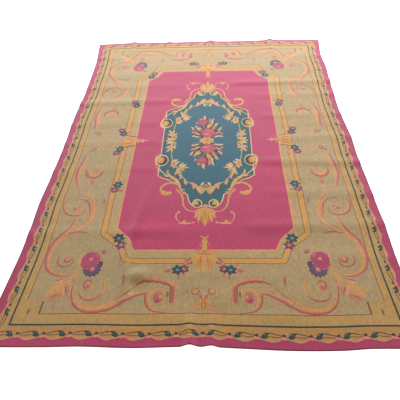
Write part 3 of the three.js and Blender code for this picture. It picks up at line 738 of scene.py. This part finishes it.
# ridges across the rug: from x, from y, to x, to y, height, near foot, far foot
crossRidges = [
    (-1, 1.196, -0.69, 1.18, 0.0056, 0.045, 0.06), (-0.43, 0.906, -0.09, 0.915, 0.0049, 0.05, 0.07),
    (-1, 0.705, -0.16, 0.712, 0.0035, 0.06, 0.09), (-1, 0.47, -0.19, 0.492, 0.0077, 0.048, 0.08),
    (-1, 0.196, -0.26, 0.212, 0.0035, 0.055, 0.08), (-1, -0.032, -0.23, -0.01, 0.0042, 0.055, 0.07),
    (-1, -0.31, -0.28, -0.288, 0.0035, 0.055, 0.07), (-1, -0.835, -0.09, -0.808, 0.0056, 0.06, 0.075),
    (0.64, 1.18, 1, 1.176, 0.0049, 0.05, 0.06), (0.12, 0.734, 1, 0.752, 0.0091, 0.045, 0.085),
    (0.26, 0.548, 1, 0.566, 0.0049, 0.055, 0.08), (0.32, 0.272, 1, 0.292, 0.0056, 0.05, 0.08),
    (0.3, 0.006, 1, 0.026, 0.0042, 0.055, 0.075), (0.25, -0.226, 1, -0.246, 0.0077, 0.048, 0.075),
    (0.3, -0.516, 1, -0.534, 0.0042, 0.055, 0.08), (0.15, -0.788, 1, -0.77, 0.0063, 0.055, 0.07),
]

# lengthwise puckers from an end: x, y, inner x, inner y, height, foot
endPuckers = [
    (-0.052, -1.5, -0.072, -1.225, 0.022, 0.046), (0.034, -1.5, 0.046, -1.29, 0.015, 0.04),
    (-0.68, 1.5, -0.668, 1.25, 0.009, 0.048), (-0.36, 1.5, -0.356, 1.3, 0.005, 0.046),
    (0.02, 1.5, 0.016, 1.24, 0.011, 0.048), (0.552, 1.5, 0.546, 1.25, 0.013, 0.046),
]

# the long slanting rumple that runs from the field into the border: along, across its crest,
# height, foot on its left, foot on its right
rumple = np.array([
    (-1.29, -0.384, 0, 0.05, 0.04), (-1.16, -0.389, 0.011, 0.055, 0.032), (-1.04, -0.394, 0.018, 0.058, 0.026),
    (-0.93, -0.399, 0.016, 0.062, 0.03), (-0.86, -0.39, 0.013, 0.064, 0.04), (-0.6, -0.356, 0.007, 0.064, 0.06),
    (-0.42, -0.338, 0, 0.064, 0.064),
])

# low swellings: across, along, height, reach across, reach along
swellings = [
    (-0.322, -1.112, 0.018, 0.08, 0.062), (0.07, -1.24, 0.004, 0.11, 0.09), (-0.17, -1.34, 0.003, 0.12, 0.06),
    (0.33, -1.33, 0.003, 0.16, 0.06), (-0.64, -0.56, 0.004, 0.12, 0.09), (0.64, -0.98, 0.004, 0.14, 0.1),
]


def placeOf(flat):
    # where the flat cloth's points lie on the floor: the width follows the long edges everywhere,
    # and the ends' unevenness is felt near the ends alone
    across, along = flat[:, 0], flat[:, 1]
    sides = smoothAlong(longEdges[:, 0], longEdges[:, 1:], along)
    ends = smoothAlong(shortEnds[:, 0], shortEnds[:, 1:], across)
    share = across / (cloth["width"] / 2)
    x = (sides[:, 1] + sides[:, 0]) / 2 * share**2 + (sides[:, 1] - sides[:, 0]) / 2 * share
    reach = along / (cloth["length"] / 2)
    power = cloth["endUnevennessPower"]
    near = (ends[:, 0] + cloth["length"] / 2) * np.maximum(0, -reach) ** power
    far = (ends[:, 1] - cloth["length"] / 2) * np.maximum(0, reach) ** power
    return np.stack([x, along + near + far], axis=1)


def softStep(x, start, end):
    # 0 before the start, 1 after the end, 3t² - 2t³ between
    t = np.clip((x - start) / (end - start), 0, 1)
    return t * t * (3 - 2 * t)


def ridgeHeight(place, start, end, height, nearFoot, farFoot, startFade, endFade):
    # a straight ridge: its section is (1 - s)²(1 + s), s from 0 at the rounded crest to 1 at the foot
    start, end = np.array(start), np.array(end)
    length = np.linalg.norm(end - start)
    way = (end - start) / length
    travelled = (place - start) @ way
    offset = (place - start) @ np.array([-way[1], way[0]])
    foot = np.where(offset < 0, nearFoot, farFoot)
    rounding = cloth["crestRounding"]
    away = np.hypot(np.abs(offset) / foot, rounding) - rounding
    s = np.minimum(away / (math.hypot(1, rounding) - rounding), 1)
    rise = softStep(travelled, 0, startFade) * (1 - softStep(travelled, length - endFade, length))
    return height * rise * (1 - s) ** 2 * (1 + s)


def liftAt(place):
    # the height of the cloth's underside over the floor: the sum of all ridges and of small waves
    lift = np.zeros(len(place))
    for fromX, fromY, toX, toY, height, nearFoot, farFoot in crossRidges:
        startFade = cloth["noFade"] if fromX < -cloth["sidesReach"] else cloth["crossRidgeFade"]
        endFade = cloth["noFade"] if toX > cloth["sidesReach"] else cloth["crossRidgeFade"]
        lift += ridgeHeight(place, (fromX, fromY), (toX, toY), height, nearFoot, farFoot, startFade, endFade)
    for x, y, innerX, innerY, height, foot in endPuckers:
        start = (x, y + math.copysign(cloth["beyondEnd"], y))
        lift += ridgeHeight(place, start, (innerX, innerY), height, foot, foot, cloth["noFade"], abs(y - innerY))
    x, y = place.T
    crest, height, leftFoot, rightFoot = smoothAlong(rumple[:, 0], rumple[:, 1:], y).T
    s = np.minimum(np.abs(x - crest) / np.where(x < crest, leftFoot, rightFoot), 1)
    lift += height * (1 - s) ** 2 * (1 + s)
    for across, along, height, reachX, reachY in swellings:
        lift += height * np.maximum(0, 1 - np.hypot((x - across) / reachX, (y - along) / reachY) ** 2) ** 2
    turnsX, swayX, swayTurnsX = cloth["wavesAcross"]
    turnsY, swayY, swayTurnsY = cloth["wavesAlong"]
    waves = np.sin(turnsX * x + swayX * np.sin(swayTurnsX * y)) * np.sin(turnsY * y + swayY * np.sin(swayTurnsY * x))
    return lift + cloth["cockle"] * (1 + waves) * softStep(np.hypot(x, y), 0, cloth["calmRadius"])


def thinned(outline, tolerance):
    # leaves out every second point that lies on the line between its neighbours, three times over,
    # where that leaves no side longer than the longest allowed
    for _ in range(3):
        before, after = np.roll(outline, 1, axis=0), np.roll(outline, -1, axis=0)
        base, reach = after - before, outline - before
        length = np.linalg.norm(base, axis=1)
        off = np.abs(base[:, 0] * reach[:, 1] - base[:, 1] * reach[:, 0])
        drop = (off < tolerance * np.maximum(length, 1e-9)) & (length < cloth["longestSide"])
        drop[1::2] = False
        drop[-1] = False
        if len(outline) - drop.sum() < 5:
            break
        outline = outline[~drop]
    return outline


def ringAt(inward):
    # the rectangle that lies so far inside the cloth's edge, cut into even steps
    halfU, halfV = cloth["width"] / 2 - inward, cloth["length"] / 2 - inward
    countU, countV = (round(side / cloth["edgeStep"]) for side in (cloth["width"], cloth["length"]))
    u, v = np.linspace(-halfU, halfU, countU + 1), np.linspace(-halfV, halfV, countV + 1)
    return np.concatenate([
        np.stack([u[:-1], np.full(countU, -halfV)], 1), np.stack([np.full(countV, halfU), v[:-1]], 1),
        np.stack([u[:0:-1], np.full(countU, halfV)], 1), np.stack([np.full(countV, -halfU), v[:0:-1]], 1),
    ])


def isInside(points, outline):
    # a point is inside where the outline winds round it, counting the edges that pass to its right
    inside = np.zeros(len(points), bool)
    low, high = outline.min(axis=0), outline.max(axis=0)
    near = np.flatnonzero(((points > low) & (points < high)).all(axis=1))
    a, b = outline, np.roll(outline, -1, axis=0)
    for some in np.array_split(near, 1 + len(near) * len(outline) // 4_000_000):
        u, v = points[some, 0:1], points[some, 1:2]
        side = (b[:, 0] - a[:, 0]) * (v - a[:, 1]) - (u - a[:, 0]) * (b[:, 1] - a[:, 1])
        up = (a[:, 1] <= v) & (b[:, 1] > v) & (side > 0)
        down = (a[:, 1] > v) & (b[:, 1] <= v) & (side < 0)
        inside[some] = up.sum(axis=1) != down.sum(axis=1)
    return inside


def gridPoints(gridStep):
    # every second point of a fine grid, and all of them round the rumple
    margin = cloth["edgeMargin"] * gridStep
    halfU, halfV = cloth["width"] / 2 - margin, cloth["length"] / 2 - margin
    fineU, fineV = 2 * round(2 * halfU / gridStep), 2 * round(2 * halfV / gridStep)
    i, j = (index.ravel() for index in np.meshgrid(np.arange(fineU + 1), np.arange(fineV + 1)))
    grid = np.stack([(2 * i / fineU - 1) * halfU, (2 * j / fineV - 1) * halfV], axis=-1)
    fromCrest = np.abs(grid[:, 0] - smoothAlong(rumple[:, 0], rumple[:, 1], grid[:, 1])[:, 0])
    fromMiddle = np.abs(grid[:, 1] - rumple[:, 0].mean())
    isNear = (fromCrest < cloth["rumpleReach"]) & (fromMiddle < np.ptp(rumple[:, 0]) / 2)
    return grid[((i % 2 == 0) & (j % 2 == 0)) | isNear]


def clearOf(points, grid):
    # the grid's points that aren't in the same square cell as any of the points, or beside it
    cellCount = 2 * math.ceil(0.6 * cloth["length"] / cloth["clearance"])
    taken = np.zeros((cellCount, cellCount), bool)

    def cellsOf(place):
        cells = (place / cloth["clearance"] + cellCount // 2).astype(int)
        return np.clip(cells, 1, cellCount - 2).T

    across, along = cellsOf(points)
    for stepU in (-1, 0, 1):
        for stepV in (-1, 0, 1):
            taken[across + stepU, along + stepV] = True
    across, along = cellsOf(grid)
    return grid[~taken[across, along]]


def wovenLayer(shapes, tolerance, gridStep, smallest):
    # one face of the flat cloth in triangles whose sides follow the design's lines, and each
    # triangle's yarn: that of the last shape that covers it; the smallest shapes are left out
    shapes = [(outline, yarn) for outline, yarn in shapes if np.ptp(outline, axis=0).max() > smallest]
    outlines = [thinned(outline, tolerance) for outline, _ in shapes[1:]]
    rings = [ringAt(row["inward"]) for row in cloth["edgeSection"]]
    loops = rings + outlines
    points = np.concatenate(loops)
    firsts = np.cumsum([0] + [len(loop) for loop in loops])
    edges = np.concatenate([
        np.stack([np.arange(len(loop)), np.roll(np.arange(len(loop)), -1)], 1) + first
        for loop, first in zip(loops, firsts)
    ])
    grid = clearOf(points, gridPoints(gridStep))
    everything = [Vector(p) for p in (np.concatenate([points, grid]).round(5) + 0.0).tolist()]
    made = delaunay_2d_cdt(everything, edges.tolist(), [], 0, 1e-5, True)
    flat = np.array([tuple(p) for p in made[0]])
    triangles = np.array(made[2])
    origin = np.full(len(everything), -1)
    for index, sources in enumerate(made[3]):
        origin[sources] = index
    edge = origin[:len(rings[0])]
    middles = flat[triangles].mean(axis=1)
    yarnNames = list(yarns)
    yarn = np.full(len(triangles), yarnNames.index(shapes[0][1]))
    for (_, name), outline in zip(shapes[1:], outlines):
        yarn[isInside(middles, outline)] = yarnNames.index(name)
    return flat, triangles, edge, yarn


def linearColour(colour):
    # the light that a screen colour stands for
    c = np.asarray(colour, float)
    return np.where(c <= 0.04045, c / 12.92, ((c + 0.055) / 1.055) ** 2.4)


def rugMesh():
    shapes = allShapes()
    section = {key: [row[key] for row in cloth["edgeSection"]] for key in ("inward", "upper", "under")}
    layers = []
    for face in ("upper", "under"):
        flat, triangles, edge, yarn = wovenLayer(shapes, **cloth[face + "Face"])
        place = placeOf(flat)
        inward = np.minimum(cloth["width"] / 2 - np.abs(flat[:, 0]), cloth["length"] / 2 - np.abs(flat[:, 1]))
        height = liftAt(place) + np.interp(inward, section["inward"], section[face])
        layers.append((flat, np.c_[place, height], triangles, edge, yarn))
        print(face, "face:", len(flat), "points,", len(triangles), "triangles")
    (flatTop, top, trianglesTop, edgeTop, yarnTop), (flatLow, low, trianglesLow, edgeLow, yarnLow) = layers
    # the two faces share the points of the edge
    index = np.full(len(low), -1)
    index[edgeLow] = edgeTop
    own = np.flatnonzero(index < 0)
    index[own] = len(top) + np.arange(len(own))
    points = np.concatenate([top, low[own]])
    flat = np.concatenate([flatTop, flatLow[own]])
    faces = np.concatenate([trianglesTop, index[trianglesLow][:, ::-1]])
    yarn = np.concatenate([yarnTop, yarnLow])
    isTop = np.arange(len(faces)) < len(trianglesTop)

    mesh = bpy.data.meshes.new("rug")
    mesh.vertices.add(len(points))
    mesh.vertices.foreach_set("co", points.ravel())
    mesh.loops.add(3 * len(faces))
    mesh.loops.foreach_set("vertex_index", faces.ravel())
    mesh.polygons.add(len(faces))
    mesh.polygons.foreach_set("loop_start", np.arange(0, 3 * len(faces), 3))
    mesh.update(calc_edges=True)
    mesh.polygons.foreach_set("use_smooth", np.ones(len(faces), bool))

    colours = np.array([[*linearColour(row[:3]), row[3]] for row in yarns.values()])
    attribute = mesh.color_attributes.new("yarn", "FLOAT_COLOR", "CORNER")
    attribute.data.foreach_set("color", np.repeat(colours[yarn], 3, axis=0).ravel())
    # the flat cloth in metres, for the weave, and both faces side by side on one sheet
    mesh.uv_layers.new(name="cloth").data.foreach_set("uv", flat[faces].ravel())
    spread = (points[faces][:, :, :2] + cloth["bakeCorner"]) / cloth["bakeSide"]
    spread[~isTop, :, 0] += 0.5
    mesh.uv_layers.new(name="OFBake").data.foreach_set("uv", spread.ravel())
    mesh.validate()
    return mesh


yarnLook = {
    "ribPitch": 0.0094,  # the ribs run along the rug
    "beadPitch": 0.0070,  # the weft's turns along a rib
    "weaveHeight": 0.0006,
    "ribHollowPaintedShade": 0.24,  # painted shade: how much darker the hollows between the ribs are painted in the yarn's colour
    "beadDepth": 0.45,  # of the weave's height
    "slubDepth": 0.5,
    "mottle": 0.46,  # uneven dyeing, at its strongest
    "streak": 0.50,  # the sage yarns mixed into the ground
    "brownStreak": 0.40,  # and the brown ones
    "bands": 0.07,  # lighter and darker stretches woven from different batches
    # each noise: size across and along the rug, detail, and a shift that makes it differ
    "slubs": (0.007, 0.012, 3.0, 0.0),
    "patches": (0.018, 0.026, 3.0, 7.0),
    "batches": (0.9, 0.10, 2.0, 3.0),
    "streaks": (0.030, 0.12, 2.0, 11.0),
    "evenRange": (0.3, 0.7),  # what the noise mostly lies between
    "sageRange": (0.52, 0.70),  # where the streaks turn sage
    "brownRange": (0.47, 0.30),
    "sageTone": (0.33, 0.33, 0.14, 1.0),
    "brownTone": (0.42, 0.21, 0.12, 1.0),
    "roughness": 0.85,
    "sheen": 0.50,
    "sheenRoughness": 0.6,
    "sheenTint": (0.86, 0.98, 1.0, 1.0),
    "gloss": 0.2,
}


def addNode(tree, kind, inputs=(), **settings):
    # a node with its settings; an input is a value or the output that feeds it
    node = tree.nodes.new(kind)
    for name, value in settings.items():
        setattr(node, name, value)
    for name, value in dict(inputs).items():
        if isinstance(value, bpy.types.NodeSocket):
            tree.links.new(value, node.inputs[name])
        else:
            node.inputs[name].default_value = value
    return node


def calc(tree, operation, a, b=0.0, c=0.0, clamp=False):
    return addNode(tree, "ShaderNodeMath", {0: a, 1: b, 2: c}, operation=operation, use_clamp=clamp).outputs[0]


def noiseOn(tree, u, v, sizeU, sizeV, detail, shift):
    # smooth noise from 0 to 1 whose patches are sizeU wide and sizeV long on the cloth
    place = addNode(tree, "ShaderNodeCombineXYZ", {
        "X": calc(tree, "DIVIDE", u, sizeU), "Y": calc(tree, "DIVIDE", v, sizeV), "Z": shift})
    return addNode(tree, "ShaderNodeTexNoise", {
        "Vector": place.outputs[0], "Scale": 1.0, "Detail": detail, "Roughness": 0.55}).outputs["Fac"]


def spreadOut(tree, value, low, high):
    # the value stretched so that low becomes 0 and high becomes 1
    return addNode(tree, "ShaderNodeMapRange", {
        "Value": value, "From Min": low, "From Max": high, "To Min": 0.0, "To Max": 1.0}).outputs[0]


def mixColour(tree, how, factor, a, b):
    node = addNode(tree, "ShaderNodeMix", data_type="RGBA", blend_type=how)
    for socket, value in ((node.inputs[0], factor), (node.inputs[6], a), (node.inputs[7], b)):
        if isinstance(value, bpy.types.NodeSocket):
            tree.links.new(value, socket)
        else:
            socket.default_value = value
    return node.outputs[2]


def greyOf(tree, value):
    return addNode(tree, "ShaderNodeCombineColor", {"Red": value, "Green": value, "Blue": value}).outputs[0]


def yarnMaterial():
    material = bpy.data.materials.new("wovenYarn")
    material.use_nodes = True
    tree = material.node_tree
    shader = tree.nodes["Principled BSDF"]
    yarn = addNode(tree, "ShaderNodeAttribute", attribute_name="yarn")
    flat = addNode(tree, "ShaderNodeUVMap", uv_map="cloth")
    place = addNode(tree, "ShaderNodeSeparateXYZ", {"Vector": flat.outputs[0]})
    u, v = place.outputs["X"], place.outputs["Y"]

    # the weave: ribs |sin|, cut into beads that are staggered from rib to rib
    rib = calc(tree, "DIVIDE", u, yarnLook["ribPitch"])
    ribHeight = calc(tree, "ABSOLUTE", calc(tree, "SINE", calc(tree, "MULTIPLY", rib, math.pi)))
    stagger = calc(tree, "MULTIPLY", calc(tree, "FLOOR", rib), 0.5)
    bead = calc(tree, "ADD", calc(tree, "DIVIDE", v, yarnLook["beadPitch"]), stagger)
    beadHeight = calc(tree, "ABSOLUTE", calc(tree, "SINE", calc(tree, "MULTIPLY", bead, math.pi)))
    beadCut = calc(tree, "MULTIPLY_ADD", beadHeight, yarnLook["beadDepth"], 1.0 - yarnLook["beadDepth"])
    weave = calc(tree, "MULTIPLY", ribHeight, beadCut)

    # the yarn's unevenness: fine slubs, patches of uneven dye, batches across the rug; with them, painted shade that
    # darkens the hollows between the ribs
    slubs, patches, batches = (
        spreadOut(tree, noiseOn(tree, u, v, *yarnLook[name]), *yarnLook["evenRange"])
        for name in ("slubs", "patches", "batches")
    )
    fine = calc(tree, "MULTIPLY_ADD", slubs, 0.5, calc(tree, "MULTIPLY", patches, 0.5))
    mottled = calc(tree, "MULTIPLY_ADD", calc(tree, "SUBTRACT", fine, 0.5), yarnLook["mottle"], 1.0)
    banded = calc(tree, "MULTIPLY_ADD", calc(tree, "SUBTRACT", batches, 0.5), 2 * yarnLook["bands"], 1.0)
    # painted shade: the base colour is darker in the hollows between the ribs, where shade would fall
    paintedHollowShade = calc(tree, "MULTIPLY_ADD", weave, yarnLook["ribHollowPaintedShade"], 1.0 - yarnLook["ribHollowPaintedShade"])
    dyeAndPaintedShade = calc(tree, "MULTIPLY", calc(tree, "MULTIPLY", mottled, banded), paintedHollowShade)

    # other yarns spun in: sage and brown streaks along the rug, where the yarn takes them
    streaks = noiseOn(tree, u, v, *yarnLook["streaks"])
    colour = yarn.outputs["Color"]
    for reach, strength, tone in (("sageRange", "streak", "sageTone"), ("brownRange", "brownStreak", "brownTone")):
        share = calc(tree, "MULTIPLY", spreadOut(tree, streaks, *yarnLook[reach]), yarn.outputs["Alpha"])
        share = calc(tree, "MULTIPLY", share, yarnLook[strength])
        colour = mixColour(tree, "MIX", share, colour, yarnLook[tone])
    # the uneven dye and the painted shade of the hollows together darken the yarn's colour
    colour = mixColour(tree, "MULTIPLY", 1.0, colour, greyOf(tree, dyeAndPaintedShade))
    tree.links.new(colour, shader.inputs["Base Color"])

    slubHeight = calc(tree, "MULTIPLY_ADD", slubs, yarnLook["slubDepth"], weave)
    bump = addNode(tree, "ShaderNodeBump", {
        "Height": slubHeight, "Distance": yarnLook["weaveHeight"], "Strength": 1.0})
    tree.links.new(bump.outputs[0], shader.inputs["Normal"])
    for socket, name in (("Roughness", "roughness"), ("Specular IOR Level", "gloss"), ("Sheen Weight", "sheen"),
                         ("Sheen Roughness", "sheenRoughness"), ("Sheen Tint", "sheenTint")):
        shader.inputs[socket].default_value = yarnLook[name]
    return material


rug = bpy.data.objects.new("rugCloth", rugMesh())
bpy.context.scene.collection.objects.link(rug)
rug.data.materials.append(yarnMaterial())
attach(rug, "root")
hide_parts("rug")
print("rug woven:", len(rug.data.polygons), "triangles")

studio = {
    "floorSize": 60.0,
    "floorDrop": 0.0002,
    "floorTone": 0.92,
    "floorGlow": 1.0,  # keeps the pale floor as white near the camera as it is far off
    "skyTone": (1.0, 0.95, 0.90, 1.0),
    "skyStrength": 0.345,
    # each light: name, place, size, power, colour, what it points at
    "lights": [
        ("farWindow", (0.4, 4.2, 2.6), 3.0, 272.0, (0.99, 1.0, 1.02), (0.0, 0.3, 0.0)),
        ("softbox", (2.4, 0.3, 2.6), 2.5, 21.0, (1.0, 0.86, 0.76), (0.3, 0.3, 0.0)),
        ("sideWindow", (-3.6, 0.2, 2.0), 2.0, 18.0, (1.0, 0.86, 0.74), (0.0, 0.0, 0.0)),
    ],
    "cameraPlace": (0.0676, -2.4470, 1.8260),
    "cameraPitch": 0.7710,
    "cameraYaw": -0.05307,
    "cameraRoll": -0.04289,
    "lens": 40.5,
    "sensor": 36.0,
}


def makeStudio():
    half = studio["floorSize"] / 2
    mesh = bpy.data.meshes.new("floor")
    corners = [(-half, -half), (half, -half), (half, half), (-half, half)]
    mesh.from_pydata([(x, y, -studio["floorDrop"]) for x, y in corners], [], [(0, 1, 2, 3)])
    floor = bpy.data.objects.new("floor", mesh)
    bpy.context.scene.collection.objects.link(floor)
    tone = studio["floorTone"]
    pale = bpy.data.materials.new("paleFloor")
    pale.use_nodes = True
    shader = pale.node_tree.nodes["Principled BSDF"]
    shader.inputs["Base Color"].default_value = (tone, tone, tone, 1.0)
    shader.inputs["Roughness"].default_value = 1.0
    shader.inputs["Specular IOR Level"].default_value = 0.0
    shader.inputs["Emission Color"].default_value = (1.0, 1.0, 1.0, 1.0)
    shader.inputs["Emission Strength"].default_value = studio["floorGlow"]
    floor.data.materials.append(pale)

    world = bpy.data.worlds.new("studio")
    world.use_nodes = True
    background = world.node_tree.nodes["Background"]
    background.inputs["Color"].default_value = studio["skyTone"]
    background.inputs["Strength"].default_value = studio["skyStrength"]
    bpy.context.scene.world = world

    for name, place, size, power, colour, target in studio["lights"]:
        light = bpy.data.lights.new(name, "AREA")
        light.shape, light.size, light.energy, light.color = "DISK", size, power, colour
        lamp = bpy.data.objects.new(name, light)
        lamp.location = place
        lamp.rotation_mode = "QUATERNION"
        lamp.rotation_quaternion = (Vector(target) - Vector(place)).to_track_quat("-Z", "Y")
        bpy.context.scene.collection.objects.link(lamp)


def makeCamera():
    # the camera looks along yaw and pitch, and is then rolled about its own line of sight
    pitch, yaw, roll = studio["cameraPitch"], studio["cameraYaw"], studio["cameraRoll"]
    forward = Vector((math.sin(yaw) * math.cos(pitch), math.cos(yaw) * math.cos(pitch), -math.sin(pitch)))
    right = Vector((math.cos(yaw), -math.sin(yaw), 0.0))
    up = right.cross(forward)
    across = math.cos(roll) * right + math.sin(roll) * up
    upward = math.cos(roll) * up - math.sin(roll) * right
    data = bpy.data.cameras.new("camera")
    data.lens, data.sensor_width, data.sensor_fit = studio["lens"], studio["sensor"], "HORIZONTAL"
    camera = bpy.data.objects.new("camera", data)
    turn = Matrix((across, upward, -forward)).transposed()
    camera.matrix_world = Matrix.Translation(studio["cameraPlace"]) @ turn.to_4x4()
    bpy.context.scene.collection.objects.link(camera)
    bpy.context.scene.camera = camera


makeStudio()
makeCamera()
bpy.context.scene.view_settings.view_transform = "Standard"
print("floor, lights and camera placed")
